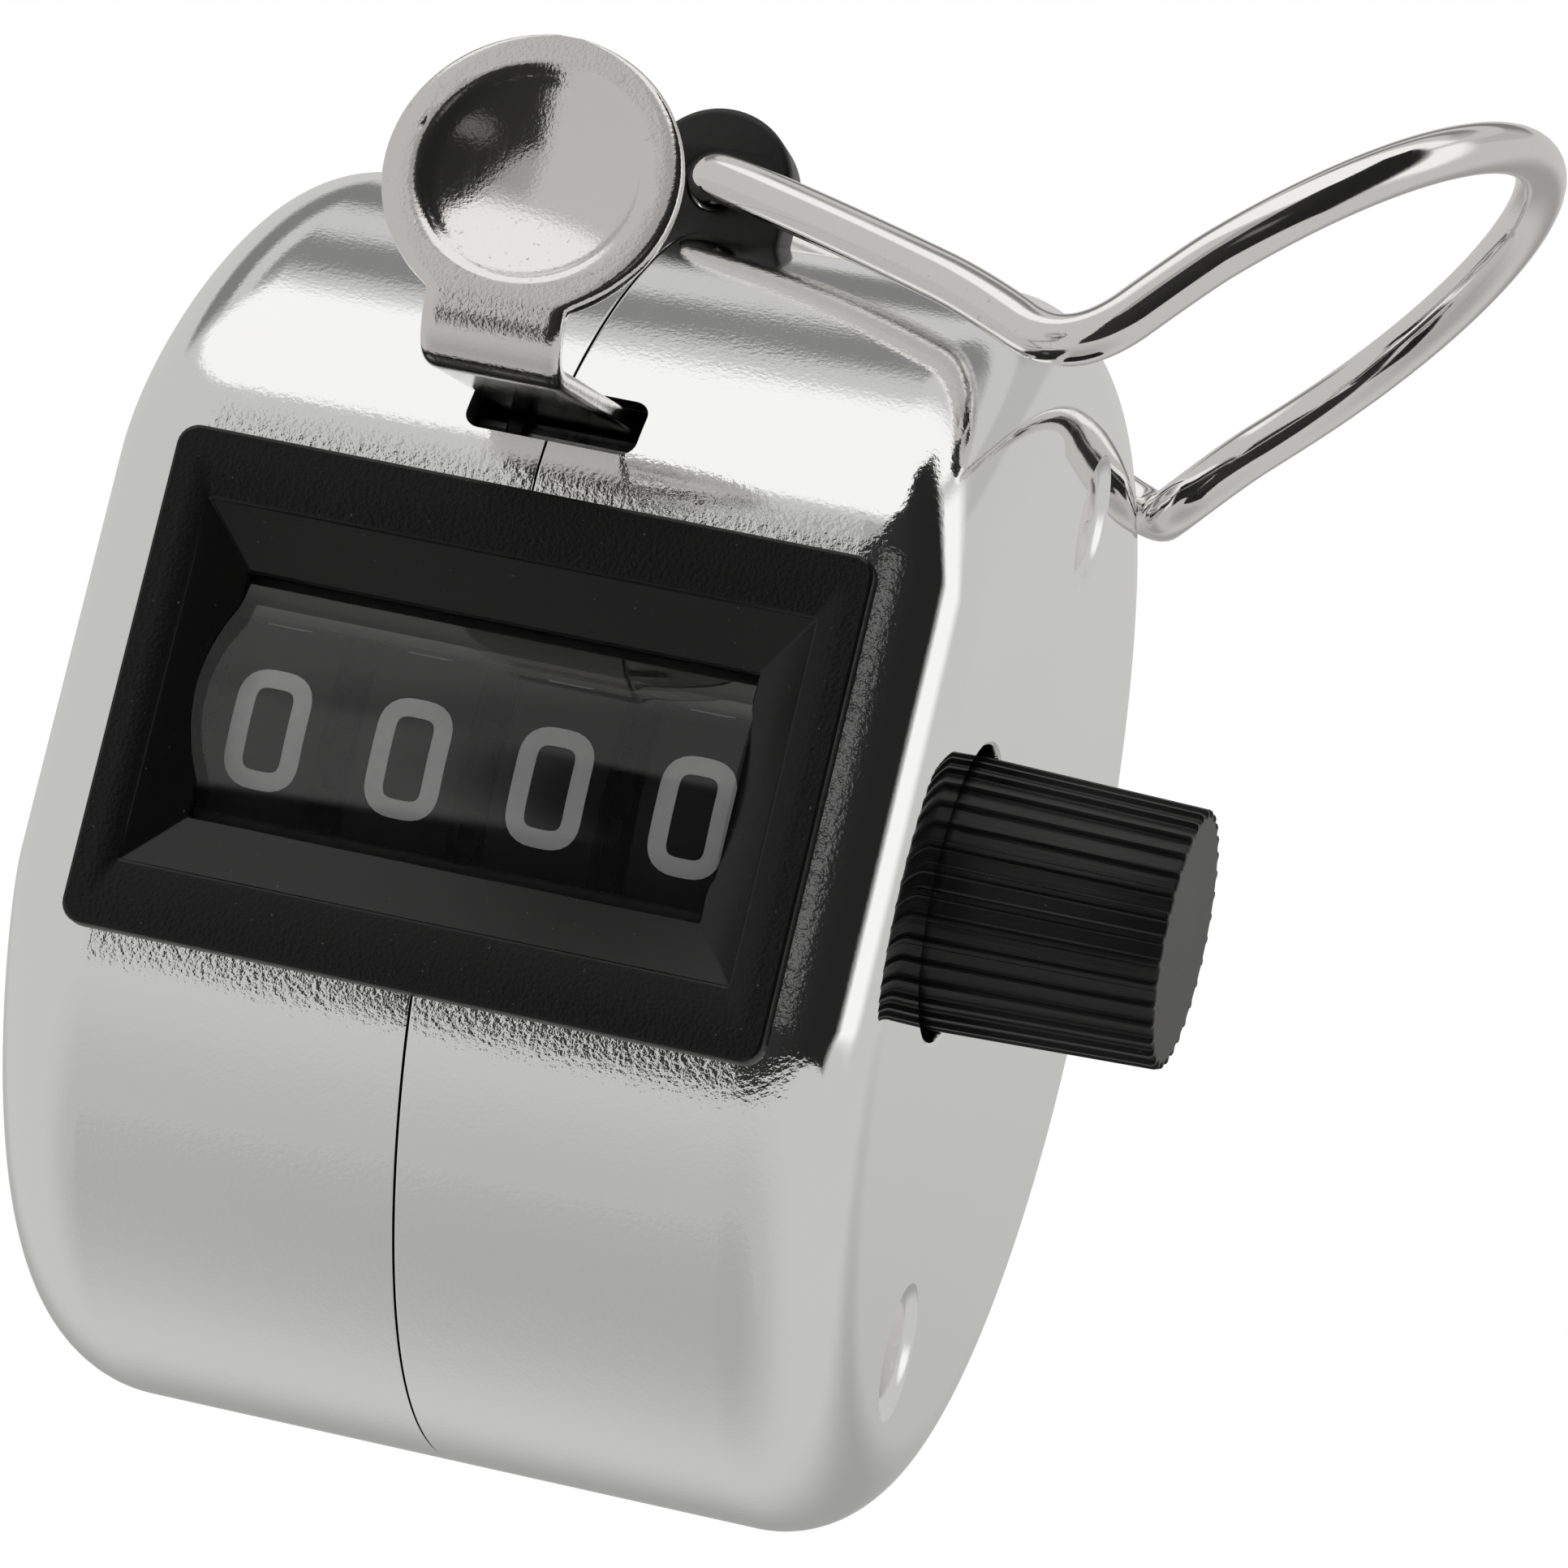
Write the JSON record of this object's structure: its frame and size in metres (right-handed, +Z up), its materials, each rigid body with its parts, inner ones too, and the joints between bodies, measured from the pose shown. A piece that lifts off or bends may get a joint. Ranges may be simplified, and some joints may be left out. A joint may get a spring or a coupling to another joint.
{
  "type": "hand tally counter",
  "caption": "Palm-held mechanical tally counter: chrome drum case, black window frame over number wheels, thumb lever, side reset knob and folding wire finger ring.",
  "frame": {"origin": "where the number-wheel shaft's axis meets the flat left side face of the case", "axes": "+X along the shaft to the reset knob, -Y the way the window faces, +Z up towards the ring lug"},
  "size_m": [0.0482, 0.0573, 0.0572],
  "materials": {
    "chrome": "polished, faint orange peel",
    "black_plastic": "moulded, fine pebble",
    "wheel_plastic": "satin, printed light grey numbers",
    "clear_lens": "clear polished plastic",
    "steel": "plated",
    "spring_steel": "drawn wire",
    "brass": "stamped"
  },
  "bodies": {
    "case": {"left_case_half": "chrome", "right_case_half": "chrome", "bezel_frame": "black_plastic", "window_lens": "clear_lens", "ring_lug": "black_plastic", "upper_case_screw": "steel", "lower_case_screw": "steel", "left_frame_plate": "steel", "right_frame_plate": "steel", "rear_frame_post": "steel", "bottom_frame_post": "steel", "rear_post_screw_left": "steel", "rear_post_screw_right": "steel", "bottom_post_screw_left": "steel", "bottom_post_screw_right": "steel", "pinion_shaft": "steel", "lever_pivot_pin": "steel", "backstop_pin": "steel", "lever_return_spring": "spring_steel", "backstop_spring": "spring_steel"},
    "lever": {"thumb_lever": "chrome", "drive_pawl_pin": "steel", "drive_pawl_spring": "spring_steel"},
    "drive_pawl": {"drive_pawl": "steel"},
    "backstop_pawl": {"backstop_pawl": "steel"},
    "reset": {"reset_shaft": "steel", "reset_knob": "black_plastic", "shaft_clip": "steel", "knob_washer": "brass"},
    "finger_ring": {"finger_ring": "chrome"},
    "thousands_wheel": {"thousands_wheel": "wheel_plastic", "zero_pawl_thousands": "brass"},
    "hundreds_wheel": {"hundreds_wheel": "wheel_plastic", "zero_pawl_hundreds": "brass"},
    "tens_wheel": {"tens_wheel": "wheel_plastic", "zero_pawl_tens": "brass"},
    "units_wheel": {"units_wheel": "wheel_plastic", "zero_pawl_units": "brass", "units_ratchet": "steel"},
    "thousands_pinion": {"thousands_pinion": "brass"},
    "hundreds_pinion": {"hundreds_pinion": "brass"},
    "tens_pinion": {"tens_pinion": "brass"}
  },
  "joints": [
    {"name": "lever_press", "type": "hinge", "parent": "case", "child": "lever", "pos_m": [0.0165, -0.0077, 0.0123], "axis": [1, 0, 0], "range_deg": [0, 11.5]},
    {"name": "drive_pawl_swing", "type": "hinge", "parent": "lever", "child": "drive_pawl", "pos_m": [0.02735, -0.0055, 0.0015], "axis": [1, 0, 0], "range_deg": [-12, 0]},
    {"name": "backstop_pawl_swing", "type": "hinge", "parent": "case", "child": "backstop_pawl", "pos_m": [0.02735, 0.006, 0.0034], "axis": [1, 0, 0], "range_deg": [-8, 0]},
    {"name": "reset_turn", "type": "hinge", "parent": "case", "child": "reset", "pos_m": [0, 0, 0], "axis": [1, 0, 0], "continuous": true},
    {"name": "ring_swing", "type": "hinge", "parent": "case", "child": "finger_ring", "pos_m": [0.0165, 0.0053, 0.02565], "axis": [0, -1, 0], "range_deg": [0, 180]},
    {"name": "thousands_count", "type": "hinge", "parent": "case", "child": "thousands_wheel", "pos_m": [0.0084, 0, 0], "axis": [-1, 0, 0], "continuous": true},
    {"name": "hundreds_count", "type": "hinge", "parent": "case", "child": "hundreds_wheel", "pos_m": [0.0138, 0, 0], "axis": [-1, 0, 0], "continuous": true},
    {"name": "tens_count", "type": "hinge", "parent": "case", "child": "tens_wheel", "pos_m": [0.0192, 0, 0], "axis": [-1, 0, 0], "continuous": true},
    {"name": "units_count", "type": "hinge", "parent": "case", "child": "units_wheel", "pos_m": [0.0246, 0, 0], "axis": [-1, 0, 0], "continuous": true},
    {"name": "thousands_pinion_spin", "type": "hinge", "parent": "case", "child": "thousands_pinion", "pos_m": [0.0111, 0.00901, -0.00631], "axis": [-1, 0, 0], "continuous": true},
    {"name": "hundreds_pinion_spin", "type": "hinge", "parent": "case", "child": "hundreds_pinion", "pos_m": [0.0165, 0.00901, -0.00631], "axis": [-1, 0, 0], "continuous": true},
    {"name": "tens_pinion_spin", "type": "hinge", "parent": "case", "child": "tens_pinion", "pos_m": [0.0219, 0.00901, -0.00631], "axis": [-1, 0, 0], "continuous": true}
  ],
  "couplings": [
    {"joint": "drive_pawl_swing", "follows": "lever_press", "ratio": -0.8},
    {"joint": "thousands_pinion_spin", "follows": "thousands_count", "ratio": -2.5},
    {"joint": "hundreds_pinion_spin", "follows": "hundreds_count", "ratio": -2.5},
    {"joint": "tens_pinion_spin", "follows": "tens_count", "ratio": -2.5}
  ]
}
